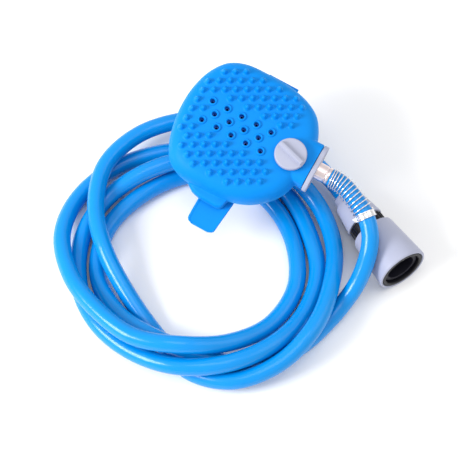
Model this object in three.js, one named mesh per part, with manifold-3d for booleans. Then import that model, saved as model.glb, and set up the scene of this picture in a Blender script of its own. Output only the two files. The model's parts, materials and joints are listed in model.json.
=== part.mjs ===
// Handheld pet bath sprayer: a palm-worn scrub head with a strap, a water knob, a long hose
// and a quick connector. Millimetres, +Z up. The origin is the middle of the flat palm face.
import * as THREE from 'three';
import { mergeVertices } from 'three/addons/utils/BufferGeometryUtils.js';
import Module from 'manifold-3d';

const wasm = await Module();
wasm.setup();

// ---------------------------------------------------------------- driving dimensions

const GAP = 0.3;                  // running gap between touching pieces
const PALM_HEIGHT = 49;           // palm face centre above the floor
const PITCH = 8;                  // degrees, neck end down
const ROLL = 10;                  // degrees, strap tab side down

const PAD_MIDDLE = -4.25;         // middle of the pad along the neck axis
const FACE = 22;                  // top of the scrub face above the palm face
const COVER_THICKNESS = 2.7;
const SHELL_THICKNESS = 2.4;
const SPLIT = 9.5;                // top edge of the rear shell

const NECK_AXIS = 11;             // height of the water axis over the palm face
const NECK_SIDE = 3;              // the neck lies this far to the far side of the knob
const NECK_HALF_WIDTH = 16.4;
const NECK_HALF_HEIGHT = 8.8;
const NECK_END = 46.5;
const PLATE_THICKNESS = 3.3;
const PLATE_SCREW = 10.8;         // screw distance from the water axis

const KNOB_AT = 30;               // knob axis along the neck axis
const KNOB_RADIUS = 11;
const KNOB_TURN = -15.7;          // degrees, the rib's angle to the neck axis at rest
const PLUG_RADIUS = 6;
const WATER_RADIUS = 2.8;

const NOZZLE_PITCH = 11.2;        // along the neck axis
const NOZZLE_ROW = 7.5;           // between rows
const NOZZLE_MIDDLE = -11.1;
const NOZZLE_RADIUS = 1.45;
const NOZZLE_RING = 3.3;
const NUB_PITCH = 7.4;
const NUB_HEIGHT = 4;
const SCREW_PLACES = [[-33, 26], [-33, -26], [14, 32], [14, -32]];

const STRAP_WIDTH = 22.6;
const STRAP_THICKNESS = 2.4;
const STRAP_TOP = 1.5;            // top of the strap's ends, in the notches of the rear shell
const NOTCH_TOP = 1.9;
const NOTCH_FROM = 34;            // the notches' inner edges, across the palm face
const PEG_PLACES = [[-6, 40.4], [6, 40.4], [-6, -40.4], [6, -40.4]];

const HOSE_RADIUS = 6;
const HOSE_IN_NUT = 14;
const SPIGOT_RADIUS = 6;
const SPIGOT_END = 59.5;
const GUARD_WIRE = 0.55;          // radius of the spring guard's wire
const GUARD_TURNS = 12;
const GUARD_LENGTH = 31;
const GUARD_SPREAD = 1.25;         // the turns lie closer at the inlet
const LEAD_LENGTH = 41;           // hose stretch under the guard and ferrule

const CONNECTOR_LENGTH = 70;
const SLEEVE_FRONT = 18.4;        // outer radius at the mouth
const SLEEVE_REAR = 15.3;
const SLEEVE_START = 34;
const CONNECTOR_FRONT = [130, -23];
const CONNECTOR_HEADING = -29.7;  // degrees from +X on the floor
const BORE_RADIUS = 8.2;
const MOUTH_RADIUS = 10.3;
const GUIDE_TURN = 77;            // degrees, the guide tooth's place around the mouth
const CLAW_COUNT = 4;
const CLAW_RATIO = 0.3;           // slope of the sleeve's inner cone and of the claws' backs

// Hose route after the spigot: x, y, and the height of the hose's middle above the floor.
const ROUTE = [
  [67.5, 0.9, 51], [74, -0.5, 49.7], [80.5, -3.1, 48], [86.5, -5.9, 46.2], [92.3, -9.3, 44.2],
  [97.5, -13.8, 41.8], [102.2, -19.9, 38.6], [105.5, -28, 34], [107, -38, 25.5], [106.6, -48, 17],
  [104.4, -58.5, 10.5],
  [101, -73, 7], [91, -102, 6], [70, -128, 6], [39, -140, 14], [6, -145, 19], [-27, -139, 12], [-55, -118, 6],
  [-66, -86, 6], [-59, -53, 6], [-40, -25, 6], [-12, -9, 6], [22, -13, 6], [51, -32, 6],
  [69, -62, 6], [68, -96, 10], [52, -125, 21], [27, -145, 31], [-5, -154, 28], [-38, -147, 23],
  [-67, -132, 19], [-89, -107, 14], [-96, -75, 7], [-87, -44, 6], [-65, -17, 6], [-37, 0, 6],
  [-4, 6, 6], [29, -1, 6], [57, -21, 7], [78, -47, 7], [84, -80, 10], [77, -112, 18],
  [58, -139, 22], [29, -156, 20], [-4, -159, 13], [-36, -151, 9], [-62, -131, 6], [-78, -99, 7],
  [-78, -67, 8], [-63, -40, 16], [-39, -16, 19], [-9, 1, 19], [26, 7, 18], [55, -2, 12],
  [79, -25, 12], [92, -56, 18], [96, -89, 21], [87, -121, 17], [65, -145, 12], [34, -151, 6],
  [1, -138, 6], [-29, -123, 12], [-57, -104, 19], [-78, -79, 20], [-88, -48, 20], [-80, -16, 19],
  [-58, 9, 19], [-29, 25, 18], [4, 29.5, 18], [38, 24.5, 15.5],
];

// ---------------------------------------------------------------- materials

function material(color, roughness, metalness = 0) {
  return new THREE.MeshStandardMaterial({ color, roughness, metalness });
}

const COLOURS = {
  silicone: [0x0a90e8, 0.45],
  shellPlastic: [0x1478c8, 0.4],
  greyPlastic: [0xc2bdd0, 0.5],
  hosePlastic: [0x0a90e8, 0.25],
  blackPlastic: [0x15151a, 0.6],
  charcoalPlastic: [0x2c2c38, 0.55],
  steel: [0xd0ccc8, 0.25, 1],
  brass: [0xc8a858, 0.3, 1],
  sealRubber: [0x202024, 0.8],
};

// ---------------------------------------------------------------- geometry helpers

const radians = THREE.MathUtils.degToRad;

function vector(point) {
  return new THREE.Vector3(...point);
}

function signedVolume(position, index) {
  const corner = [new THREE.Vector3(), new THREE.Vector3(), new THREE.Vector3()];
  let sum = 0;
  for (let i = 0; i < index.length; i += 3) {
    corner.forEach((point, k) => point.fromBufferAttribute(position, index[i + k]));
    sum += corner[0].dot(corner[1].clone().cross(corner[2])) / 6;
  }
  return sum;
}

// Shares the vertices, drops triangles that have no area and turns the faces outward.
function closed(geometry) {
  const bare = geometry.clone();
  bare.deleteAttribute('normal');
  bare.deleteAttribute('uv');
  const merged = mergeVertices(bare, 1e-4);
  const index = [];
  for (let i = 0; i < merged.index.count; i += 3) {
    const [a, b, c] = [0, 1, 2].map((k) => merged.index.getX(i + k));
    if (a !== b && b !== c && a !== c) index.push(a, b, c);
  }
  if (signedVolume(merged.attributes.position, index) < 0) index.reverse();
  merged.setIndex(index);
  return merged;
}

function toSolid(geometry) {
  const shape = closed(geometry);
  return new wasm.Manifold(new wasm.Mesh({
    numProp: 3,
    vertProperties: new Float32Array(shape.attributes.position.array),
    triVerts: new Uint32Array(shape.index.array),
  }));
}

function fromSolid(solid) {
  const mesh = solid.getMesh();
  const geometry = new THREE.BufferGeometry();
  geometry.setAttribute('position', new THREE.BufferAttribute(mesh.vertProperties.slice(), 3));
  geometry.setIndex(Array.from(mesh.triVerts));
  return geometry;
}

function join(...geometries) {
  return fromSolid(geometries.map(toSolid).reduce((sum, next) => sum.add(next)));
}

function cut(geometry, ...tools) {
  return fromSolid(tools.map(toSolid).reduce((rest, tool) => rest.subtract(tool), toSolid(geometry)));
}

function common(geometry, other) {
  return fromSolid(toSolid(geometry).intersect(toSolid(other)));
}

// A round piece on the X axis from [along, radius] points.
function turnedX(profile, sides = 28) {
  const points = profile.map(([along, radius]) => new THREE.Vector2(radius, along));
  return new THREE.LatheGeometry(points, sides).rotateZ(-Math.PI / 2);
}

// A round piece on the Z axis from [height, radius] points.
function turnedZ(profile, sides = 28) {
  const points = profile.map(([height, radius]) => new THREE.Vector2(radius, height));
  return new THREE.LatheGeometry(points, sides).rotateX(Math.PI / 2);
}

function rodX(from, to, radius, sides = 20) {
  return turnedX([[from, 0], [from, radius], [to, radius], [to, 0]], sides);
}

function rodZ(from, to, radius, sides = 20) {
  return turnedZ([[from, 0], [from, radius], [to, radius], [to, 0]], sides);
}

function pipeX(from, to, inner, outer, sides = 28) {
  return turnedX([[from, inner], [from, outer], [to, outer], [to, inner], [from, inner]], sides);
}

function block(low, high) {
  const size = high.map((value, i) => value - low[i]);
  const middle = high.map((value, i) => (value + low[i]) / 2);
  return new THREE.BoxGeometry(...size).translate(...middle);
}

// A closed ring of circular section around the X axis.
function ringX(along, radius, wire, sides = 20) {
  const profile = [];
  for (let i = 0; i <= 6; i += 1) {
    const turn = (i / 6) * 2 * Math.PI;
    profile.push([along + wire * Math.sin(turn), radius + wire * Math.cos(turn)]);
  }
  return turnedX(profile, sides);
}

function circleShape(radius, sides) {
  const points = [];
  for (let i = 0; i < sides; i += 1) {
    const turn = (i / sides) * 2 * Math.PI;
    points.push(new THREE.Vector2(radius * Math.cos(turn), radius * Math.sin(turn)));
  }
  return new THREE.Shape(points);
}

function tube(curve, radius, sides, steps) {
  return new THREE.ExtrudeGeometry(circleShape(radius, sides), { steps, extrudePath: curve });
}

// A rectangle with round ends or corners, seen along X: width along Y, height along Z.
function roundedSlab(from, to, middle, halfWidth, halfHeight, corner) {
  const shape = new THREE.Shape();
  const w = halfWidth;
  const h = halfHeight;
  shape.moveTo(-w + corner, -h);
  shape.lineTo(w - corner, -h);
  shape.absarc(w - corner, -h + corner, corner, -Math.PI / 2, 0);
  shape.absarc(w - corner, h - corner, corner, 0, Math.PI / 2);
  shape.absarc(-w + corner, h - corner, corner, Math.PI / 2, Math.PI);
  shape.absarc(-w + corner, -h + corner, corner, Math.PI, 1.5 * Math.PI);
  const slab = new THREE.ExtrudeGeometry(shape, { depth: to - from, bevelEnabled: false, curveSegments: 4 });
  slab.rotateX(Math.PI / 2).rotateZ(Math.PI / 2);
  return slab.translate(from, 0, middle);
}

// ---------------------------------------------------------------- pad outline and face

const PAD_OUTLINE = [
  [-52.3, 0], [-51.2, 15.2], [-46.8, 29.2], [-39.2, 39.6], [-27.8, 45], [-10, 46.3], [8, 45.5],
  [21.5, 42.2], [31.8, 36.3], [38, 27.8], [41.2, 19.5], [42.4, 9.5], [42.5, 0], [42, -9], [39.8, -18.5],
  [36, -26.3], [29.5, -33.6], [20.2, -40.2], [7.6, -44.6], [-10, -46.2], [-28, -45.5], [-39.5, -40],
  [-46.5, -29], [-50.6, -15],
];

const padLoop = (() => {
  const curve = new THREE.CatmullRomCurve3(PAD_OUTLINE.map(([x, y]) => new THREE.Vector3(x, y, 0)), true);
  return curve.getSpacedPoints(38).slice(0, -1).reverse();
})();

function padRing([scale, height]) {
  return padLoop.map((p) => new THREE.Vector3(PAD_MIDDLE + (p.x - PAD_MIDDLE) * scale, p.y * scale, height));
}

// A closed body through rings of equal count, flat at both ends.
function loft(rings) {
  const count = rings[0].length;
  const positions = rings.flat().flatMap((p) => [p.x, p.y, p.z]);
  const index = [];
  for (let r = 0; r < rings.length - 1; r += 1) {
    for (let i = 0; i < count; i += 1) {
      const a = r * count + i;
      const b = r * count + ((i + 1) % count);
      index.push(a, b, b + count, a, b + count, a + count);
    }
  }
  const top = (rings.length - 1) * count;
  const caps = THREE.ShapeUtils.triangulateShape(rings[0].map((p) => new THREE.Vector2(p.x, p.y)), []);
  caps.forEach(([a, b, c]) => index.push(a, c, b, top + a, top + b, top + c));
  const geometry = new THREE.BufferGeometry();
  geometry.setAttribute('position', new THREE.Float32BufferAttribute(positions, 3));
  geometry.setIndex(index);
  return geometry;
}

// Each profile is [scale of the pad outline, height].
const COVER_OUTER = [
  [0.985, 2], [1, 6], [1, 10], [0.985, 13.5], [0.95, 17], [0.89, 19.6], [0.8, 21], [0.5, FACE],
];
const COVER_INNER = [
  [0.945, 0], [0.945, 12], [0.9, 16], [0.8, 18.3], [0.5, FACE - COVER_THICKNESS],
];
const FRONT_OUTER = [
  [0.93, SPLIT + 1.8], [0.93, 12], [0.885, 15.7], [0.8, 17.9], [0.5, 19],
];
const FRONT_INNER = [
  [0.878, SPLIT], [0.878, 12], [0.83, 14.5], [0.5, 19 - SHELL_THICKNESS],
];

function padBody(profile) {
  return loft(profile.map(padRing));
}

// Share of the way from the middle of the pad to its outline, at a place on the face.
function padShare(x, y) {
  const angle = Math.atan2(y, x - PAD_MIDDLE);
  const best = padLoop.reduce((near, p) => {
    const off = Math.abs(Math.atan2(p.y, p.x - PAD_MIDDLE) - angle);
    const apart = Math.min(off, 2 * Math.PI - off);
    return apart < near.apart ? { apart, reach: Math.hypot(p.x - PAD_MIDDLE, p.y) } : near;
  }, { apart: Infinity, reach: 1 });
  return Math.hypot(x - PAD_MIDDLE, y) / best.reach;
}

function faceHeight(x, y) {
  const share = padShare(x, y);
  const face = COVER_OUTER.slice(2);
  for (let i = 0; i < face.length - 1; i += 1) {
    const [outer, low] = face[i];
    const [inner, high] = face[i + 1];
    if (share >= inner) return low + ((high - low) * (outer - share)) / (outer - inner);
  }
  return FACE;
}

// Three staggered rows of spray holes, 5, 4 and 5.
function nozzlePlaces() {
  const places = [];
  [5, 4, 5].forEach((count, row) => {
    for (let i = 0; i < count; i += 1) {
      places.push([NOZZLE_MIDDLE + (i - (count - 1) / 2) * NOZZLE_PITCH, (row - 1) * NOZZLE_ROW]);
    }
  });
  return places;
}

// A staggered field of nubs over the face, clear of the spray holes, the knob, the neck and the rim.
function nubPlaces() {
  const places = [];
  const column = NUB_PITCH * Math.sqrt(0.75);
  const nozzles = nozzlePlaces();
  for (let i = -8; i <= 8; i += 1) {
    for (let j = -7; j <= 7; j += 1) {
      const x = NOZZLE_MIDDLE + i * column;
      const y = (j + (i % 2 === 0 ? 0 : 0.5)) * NUB_PITCH;
      const clearOfHoles = nozzles.every(([nx, ny]) => Math.hypot(x - nx, y - ny) > NOZZLE_RING + 2.8);
      const clearOfKnob = Math.hypot(x - KNOB_AT, y) > KNOB_RADIUS + 5;
      const onFace = padShare(x, y) < 0.87 && x < 27;
      if (clearOfHoles && clearOfKnob && onFace) places.push([x, y]);
    }
  }
  return places;
}

// ---------------------------------------------------------------- scrub head pieces

function siliconeCover() {
  const neck = roundedSlab(34, NECK_END, NECK_AXIS + 0.7, NECK_HALF_WIDTH, NECK_HALF_HEIGHT, 6);
  const tongueShape = new THREE.Shape();
  tongueShape.moveTo(-27, -40);
  tongueShape.quadraticCurveTo(-21, -50.5, -10.6, -51.6);
  tongueShape.lineTo(2, -52);
  tongueShape.quadraticCurveTo(6, -52, 6.8, -47.5);
  tongueShape.quadraticCurveTo(7.4, -43.5, 13, -38);
  const tongue = new THREE.ExtrudeGeometry(tongueShape, {
    depth: 6.3, bevelEnabled: false, curveSegments: 5,
  });
  const lug = rodZ(3, 8, 3, 12).translate(-28, 43.4, 0);
  const rings = nozzlePlaces().map(([x, y]) => {
    const top = faceHeight(x, y);
    const profile = [[top - 1, 0], [top - 1, NOZZLE_RING], [top + 1, NOZZLE_RING - 0.5], [top + 1, 0]];
    return turnedZ(profile, 8).translate(x, y, 0);
  });
  const nubs = nubPlaces().map(([x, y]) => {
    const foot = faceHeight(x, y);
    return turnedZ([[foot - 1, 0], [foot - 1, 2.3], [foot + NUB_HEIGHT, 1], [foot + NUB_HEIGHT, 0]], 4)
      .translate(x, y, 0);
  });
  const holes = nozzlePlaces().map(([x, y]) => rodZ(14, 30, NOZZLE_RADIUS, 6).translate(x, y, 0));
  neck.translate(0, NECK_SIDE, 0);
  tongue.translate(0, 0, 2.2);
  const body = join(padBody(COVER_OUTER), neck, tongue, lug, ...rings, ...nubs);
  return cut(
    body,
    padBody(COVER_INNER),
    roundedSlab(33, NECK_END + 1, NECK_AXIS, 13.9, 6.6, 3).translate(0, NECK_SIDE, 0),
    rodZ(14, 30, 5.2).translate(KNOB_AT, 0, 0),
    ...holes,
  );
}

function frontShell() {
  const posts = SCREW_PLACES.map(([x, y]) => rodZ(4, 16.6, 3.2, 12).translate(x, y, 0));
  const pilots = SCREW_PLACES.map(([x, y]) => rodZ(3, 13.5, 1.7, 8).translate(x, y, 0));
  const jets = nozzlePlaces().map(([x, y]) => rodZ(10, 30, 1, 6).translate(x, y, 0));
  const plate = cut(padBody(FRONT_OUTER), padBody(FRONT_INNER));
  return cut(
    join(plate, ...posts),
    ...pilots,
    ...jets,
    rodZ(10, 30, 4.9).translate(KNOB_AT, 0, 0),
    block([17.5, -10.4, 0], [48, 13.4, 16.1]),
  );
}

// The strap's ends lie in two notches that run to the rim, under a thicker floor.
function strapNotch(side, grow, top) {
  const half = STRAP_WIDTH / 2 + 0.5 + grow;
  const reach = [NOTCH_FROM - grow, 60].map((y) => side * y).sort((a, b) => a - b);
  return block([-half, reach[0], -1], [half, reach[1], top]);
}

function rearShell() {
  const tray = loft([[0.92, 0], [0.93, 1], [0.93, SPLIT]].map(padRing));
  const floors = [-1, 1].map((side) => strapNotch(side, 2, NOTCH_TOP + 1.8));
  const hollow = cut(loft([[0.878, SHELL_THICKNESS], [0.878, SPLIT + 1]].map(padRing)), ...floors);
  const notches = [-1, 1].map((side) => strapNotch(side, 0, NOTCH_TOP));
  const heads = SCREW_PLACES.map(([x, y]) => rodZ(-1, 1.5, 3.1, 12).translate(x, y, 0));
  const shanks = SCREW_PLACES.map(([x, y]) => rodZ(-1, 6, 1.75, 8).translate(x, y, 0));
  const pegHoles = PEG_PLACES.map(([x, y]) => rodZ(-1, NOTCH_TOP + 1.4, 2.15, 8).translate(x, y, 0));
  const neckWay = block([33, -10.4, 5], [48, 13.4, 20]);
  return cut(tray, hollow, ...notches, ...heads, ...shanks, ...pegHoles, neckWay);
}

function shellSeal() {
  const outer = loft([[0.928, SPLIT + GAP], [0.928, SPLIT + 1.5]].map(padRing));
  const inner = loft([[0.88, SPLIT], [0.88, SPLIT + 2]].map(padRing));
  return cut(outer, inner, block([30, -10.4, 5], [48, 13.4, 20]));
}

function shellScrew() {
  return turnedZ([[0.1, 0], [0.1, 2.7], [1.2, 2.7], [1.2, 1.3], [12.5, 1.3], [12.5, 0]], 8);
}

function strapPeg() {
  const under = STRAP_TOP - STRAP_THICKNESS - GAP;
  const top = NOTCH_TOP + 1.1;
  return turnedZ([[under - 1, 0], [under - 1, 2], [under, 2.5], [under, 1.6], [top, 1.6], [top, 0]], 8);
}

// The strap bridges the palm face from the far edge to the near one, and ends in the pull tab.
function handStrap() {
  const middle = STRAP_TOP - STRAP_THICKNESS / 2;
  const centreline = new THREE.SplineCurve([
    [-68.5, middle - 1], [-52, middle], [-45, middle], [-37.7, middle], [-33.2, -5], [-25, -12],
    [-13, -18.4], [0, -21.3], [13, -18.4], [25, -12], [33.2, -5], [37.7, middle], [45, middle], [50, middle],
  ].map(([y, z]) => new THREE.Vector2(y, z)));
  const steps = 30;
  const sides = [1, -1].map((side) => {
    const edge = [];
    for (let i = 0; i <= steps; i += 1) {
      const at = centreline.getPointAt(i / steps);
      const along = centreline.getTangentAt(i / steps);
      const reach = (side * STRAP_THICKNESS) / 2;
      edge.push(new THREE.Vector2(at.x - along.y * reach, at.y + along.x * reach));
    }
    return edge;
  });
  const section = new THREE.Shape([...sides[0], ...sides[1].reverse()]);
  const ribbon = new THREE.ExtrudeGeometry(section, { depth: STRAP_WIDTH, bevelEnabled: false });
  ribbon.rotateX(Math.PI / 2).rotateZ(Math.PI / 2).translate(-STRAP_WIDTH / 2, 0, 0);
  const plan = new THREE.Shape();
  const half = STRAP_WIDTH / 2;
  plan.moveTo(-half - 1, 52);
  plan.lineTo(-half - 1, -60);
  plan.lineTo(-half, -65);
  plan.quadraticCurveTo(-half, -68.6, -half + 4, -68.6);
  plan.lineTo(half - 6, -68.6);
  plan.quadraticCurveTo(half - 2, -68.6, half - 2, -65);
  plan.lineTo(half + 1, -60);
  plan.lineTo(half + 1, 52);
  const outline = new THREE.ExtrudeGeometry(plan, { depth: 60, bevelEnabled: false, curveSegments: 5 });
  const holes = PEG_PLACES.map(([x, y]) => rodZ(-10, 5, 2.2, 8).translate(x, y, 0));
  return cut(common(ribbon, outline.translate(0, 0, -40)), ...holes);
}

// ---------------------------------------------------------------- valve pieces

function valveBody() {
  const low = NECK_AXIS - 5.4;
  const high = NECK_AXIS + 4.7;
  const chamber = block([18, -10, low], [41, 10, high]);
  const collar = roundedSlab(40.2, NECK_END, NECK_AXIS, 13.6, 6.3, 3).translate(0, NECK_SIDE, 0);
  const inward = rodX(10, KNOB_AT, WATER_RADIUS + 0.2).translate(0, 0, NECK_AXIS);
  const lean = Math.atan2(NECK_SIDE, NECK_END - 3 - KNOB_AT);
  const outward = rodX(0, NECK_END - 2.8 - KNOB_AT, WATER_RADIUS + 0.2).rotateZ(lean)
    .translate(KNOB_AT, 0, NECK_AXIS);
  const sealSeat = rodX(NECK_END - 3, NECK_END + 1, 5.9).translate(0, NECK_SIDE, NECK_AXIS);
  const plugBore = rodZ(0, 30, PLUG_RADIUS + 0.4, 20).translate(KNOB_AT, 0, 0);
  const pilots = [-1, 1].map((side) => (
    rodX(40, 50, 1.4, 8).translate(0, NECK_SIDE + side * PLATE_SCREW, NECK_AXIS)
  ));
  return cut(join(chamber, collar), inward, outward, sealSeat, plugBore, ...pilots);
}

function valvePlug() {
  const body = turnedZ([
    [3.2, 0], [3.2, 3], [4.1, 3], [4.1, 2], [5.3, 2], [5.3, 3], [5.7, 3], [5.7, PLUG_RADIUS],
    [6.3, PLUG_RADIUS], [6.3, 4.7], [7.7, 4.7], [7.7, PLUG_RADIUS], [13.9, PLUG_RADIUS], [13.9, 4.7], [15.2, 4.7],
    [15.2, PLUG_RADIUS], [15.5, PLUG_RADIUS], [15.5, 4.4], [20, 4.4], [20, 0],
  ], 20);
  const square = block([-2.8, -2.8, 19.5], [2.8, 2.8, 24.6]);
  const waterway = rodX(-10, 10, WATER_RADIUS).translate(0, 0, NECK_AXIS);
  return cut(join(body, square), waterway);
}

function plugRing(height) {
  return ringX(0, 5.4, 0.5).rotateY(Math.PI / 2).translate(0, 0, height);
}

function plugClip() {
  const shape = new THREE.Shape();
  const mouth = radians(28);
  shape.absarc(0, 0, 5, mouth, 2 * Math.PI - mouth);
  shape.absarc(0, 0, 2.4, 2 * Math.PI - mouth, mouth, true);
  const clip = new THREE.ExtrudeGeometry(shape, { depth: 0.7, bevelEnabled: false, curveSegments: 10 });
  return clip.translate(0, 0, 4.4);
}

function valveKnob() {
  const low = FACE + 0.4;
  const disc = turnedZ([[low, 0], [low, KNOB_RADIUS - 0.6], [low + 0.6, KNOB_RADIUS], [low + 3, KNOB_RADIUS],
    [low + 3.6, KNOB_RADIUS - 0.6], [low + 3.6, 0]], 36);
  const ribShape = new THREE.Shape([[-2.1, 0], [2.1, 0], [1.5, 3.4], [-1.5, 3.4]]
    .map(([y, z]) => new THREE.Vector2(y, z)));
  const rib = new THREE.ExtrudeGeometry(ribShape, { depth: 2 * KNOB_RADIUS - 1.5, bevelEnabled: false });
  rib.rotateX(Math.PI / 2).rotateZ(Math.PI / 2).translate(-KNOB_RADIUS + 0.75, 0, low + 3);
  const socket = block([-3.1, -3.1, 10], [3.1, 3.1, low + 2.6]);
  const stem = rodZ(low - 1, low + 0.01, 1);
  return cut(join(disc, rib), socket, stem);
}

// ---------------------------------------------------------------- inlet pieces

function endPlate() {
  const from = NECK_END + GAP;
  const to = from + PLATE_THICKNESS;
  const plate = roundedSlab(from, to, 0, NECK_HALF_WIDTH + 1, 9.4, 9.2);
  const spigotHole = rodX(from - 1, to + 1, SPIGOT_RADIUS + 0.4);
  const flangeSeat = rodX(from - 1, from + 1.2, 8.1);
  const screwHoles = [-1, 1].flatMap((side) => [
    rodX(from - 1, to + 1, 1.5, 8).translate(0, side * PLATE_SCREW, 0),
    rodX(to - 1.6, to + 1, 2.6, 12).translate(0, side * PLATE_SCREW, 0),
  ]);
  return cut(plate, spigotHole, flangeSeat, ...screwHoles);
}

function plateScrew(side) {
  const head = NECK_END + GAP + PLATE_THICKNESS;
  const profile = [
    [40.6, 0], [40.6, 1.1], [head - 1.3, 1.1], [head - 1.3, 2.2], [head - 0.1, 2.2], [head - 0.1, 0],
  ];
  return turnedX(profile, 8).translate(0, side * PLATE_SCREW, 0);
}

function inletSpigot() {
  const flange = NECK_END + GAP;
  const profile = [
    [NECK_END - 1.2, WATER_RADIUS], [NECK_END - 1.2, 5.5], [flange - 0.2, 5.5], [flange - 0.2, 7.7],
    [flange + 0.9, 7.7], [flange + 0.9, SPIGOT_RADIUS], [SPIGOT_END - 3.2, SPIGOT_RADIUS],
    [SPIGOT_END - 2.8, SPIGOT_RADIUS - 0.4], [SPIGOT_END - 2.2, SPIGOT_RADIUS - 0.4],
    [SPIGOT_END - 1.8, SPIGOT_RADIUS], [SPIGOT_END, SPIGOT_RADIUS], [SPIGOT_END, WATER_RADIUS],
    [NECK_END - 1.2, WATER_RADIUS],
  ];
  return turnedX(profile, 20);
}

function spigotSeal() {
  return pipeX(NECK_END - 2.8, NECK_END - 1.5, 3.4, 5.4, 20);
}

// ---------------------------------------------------------------- placement

const head = new THREE.Group();
head.rotation.set(radians(ROLL), radians(PITCH), 0, 'YXZ');

const inlet = new THREE.Group();
inlet.position.set(0, NECK_SIDE, NECK_AXIS);
head.add(inlet);

const knobGroup = new THREE.Group();
knobGroup.position.set(KNOB_AT, 0, 0);
knobGroup.rotation.z = radians(KNOB_TURN);
head.add(knobGroup);
head.updateMatrixWorld();

const coneAngle = Math.atan2(SLEEVE_FRONT - SLEEVE_REAR, CONNECTOR_LENGTH - SLEEVE_START);
const connectorAxis = vector([
  Math.cos(coneAngle) * Math.cos(radians(CONNECTOR_HEADING)),
  Math.cos(coneAngle) * Math.sin(radians(CONNECTOR_HEADING)),
  Math.sin(coneAngle),
]);
const connectorRear = vector([...CONNECTOR_FRONT, SLEEVE_FRONT * Math.cos(coneAngle) - PALM_HEIGHT])
  .addScaledVector(connectorAxis, -CONNECTOR_LENGTH);
const connector = new THREE.Group();
connector.position.copy(connectorRear);
connector.rotation.set(0, -coneAngle, radians(CONNECTOR_HEADING), 'ZYX');

function connectorPoint(along) {
  return connectorRear.clone().addScaledVector(connectorAxis, along);
}

// ---------------------------------------------------------------- hose pieces

const hoseStart = inlet.localToWorld(vector([SPIGOT_END + GAP, 0, 0]));
const hosePoints = [
  hoseStart,
  ...ROUTE.map(([x, y, height]) => vector([x, y, height - PALM_HEIGHT])),
  connectorPoint(-14),
  connectorPoint(0),
  connectorPoint(HOSE_IN_NUT),
];
const hoseCurve = new THREE.CatmullRomCurve3(hosePoints);
hoseCurve.arcLengthDivisions = 4000;
const hoseLength = hoseCurve.getLength();

// A stretch of the hose's middle line between two distances from its start, never under the floor.
class Stretch extends THREE.Curve {
  constructor(from, to) {
    super();
    this.from = from;
    this.to = to;
  }

  getPoint(t, target = new THREE.Vector3()) {
    const along = (this.from + (this.to - this.from) * t) / hoseLength;
    hoseCurve.getPointAt(Math.min(along, 1), target);
    target.z = Math.max(target.z, HOSE_RADIUS - PALM_HEIGHT);
    return target;
  }
}

// The guard's wire winds round the first stretch of the hose.
class GuardWire extends THREE.Curve {
  constructor() {
    super();
    this.inside = new Stretch(1, 1 + GUARD_LENGTH);
    this.frames = this.inside.computeFrenetFrames(120);
  }

  getPoint(t, target = new THREE.Vector3()) {
    const share = t ** GUARD_SPREAD;
    const step = Math.min(Math.round(share * 120), 120);
    const turn = t * GUARD_TURNS * 2 * Math.PI;
    const reach = HOSE_RADIUS + GAP + 0.1 + GUARD_WIRE;
    return target.copy(this.inside.getPoint(share))
      .addScaledVector(this.frames.normals[step], reach * Math.cos(turn))
      .addScaledVector(this.frames.binormals[step], reach * Math.sin(turn));
  }
}

function guardFerrule() {
  const place = new Stretch(1, LEAD_LENGTH);
  const share = (GUARD_LENGTH + GUARD_WIRE + 3.6) / (LEAD_LENGTH - 1);
  const at = place.getPoint(share);
  const axis = place.getTangent(share);
  const band = pipeX(-2.3, 2.3, HOSE_RADIUS + 0.55, HOSE_RADIUS + 1.2, 20);
  const ear = block([-1.6, -1.6, HOSE_RADIUS + 0.7], [1.6, 1.6, HOSE_RADIUS + 2.6]);
  const turn = new THREE.Quaternion().setFromUnitVectors(new THREE.Vector3(1, 0, 0), axis);
  return join(band, ear.rotateX(radians(118))).applyQuaternion(turn).translate(at.x, at.y, at.z);
}

// ---------------------------------------------------------------- connector pieces, on the X axis

function connectorNut() {
  return turnedX([
    [0, 6.6], [0, 8.2], [0.6, 8.6], [5, 8.6], [6.2, 10.9], [25, 13.7], [25.6, 13.2], [25.6, 9.4],
    [5.4, 9.4], [5.4, 6.6], [0, 6.6],
  ], 28);
}

function hoseCollet() {
  const ring = pipeX(5.8, 13.8, HOSE_RADIUS + GAP, 9, 20);
  const slots = [0, 60, 120].map((turn) => block([4, -0.6, -12], [11, 0.6, 12]).rotateX(radians(turn)));
  return cut(ring, ...slots);
}

function connectorBody() {
  const shape = turnedX([
    [14.4, 4], [14.4, 9], [26, 9], [26, 11], [34, 11], [34, 12.9], [35.2, 12.9], [35.2, 11], [53.6, 11],
    [53.6, 12], [61, 12], [61, 12.9], [67.5, 12.9], [67.5, MOUTH_RADIUS], [52.5, MOUTH_RADIUS],
    [52, BORE_RADIUS], [47, BORE_RADIUS], [47, 9.4], [45, 9.4], [45, BORE_RADIUS], [39, BORE_RADIUS],
    [39, 4], [14.4, 4],
  ], 24);
  const toothCorners = [[-2.4, 0], [2.4, 0], [0, -3.4]].map(([y, z]) => new THREE.Vector2(y, z));
  const toothShape = new THREE.Shape(toothCorners);
  const tooth = new THREE.ExtrudeGeometry(toothShape, { depth: 3.5, bevelEnabled: false });
  tooth.rotateX(Math.PI / 2).rotateZ(Math.PI / 2).translate(64, 0, MOUTH_RADIUS + 0.4);
  const windows = clawTurns().map((turn) => block([54.6, -2.5, 6], [60.4, 2.5, 14]).rotateX(turn));
  return cut(join(shape, tooth.rotateX(radians(GUIDE_TURN - 90))), ...windows);
}

function clawTurns() {
  return Array.from({ length: CLAW_COUNT }, (_, i) => radians(45 + (360 / CLAW_COUNT) * i));
}

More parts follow.
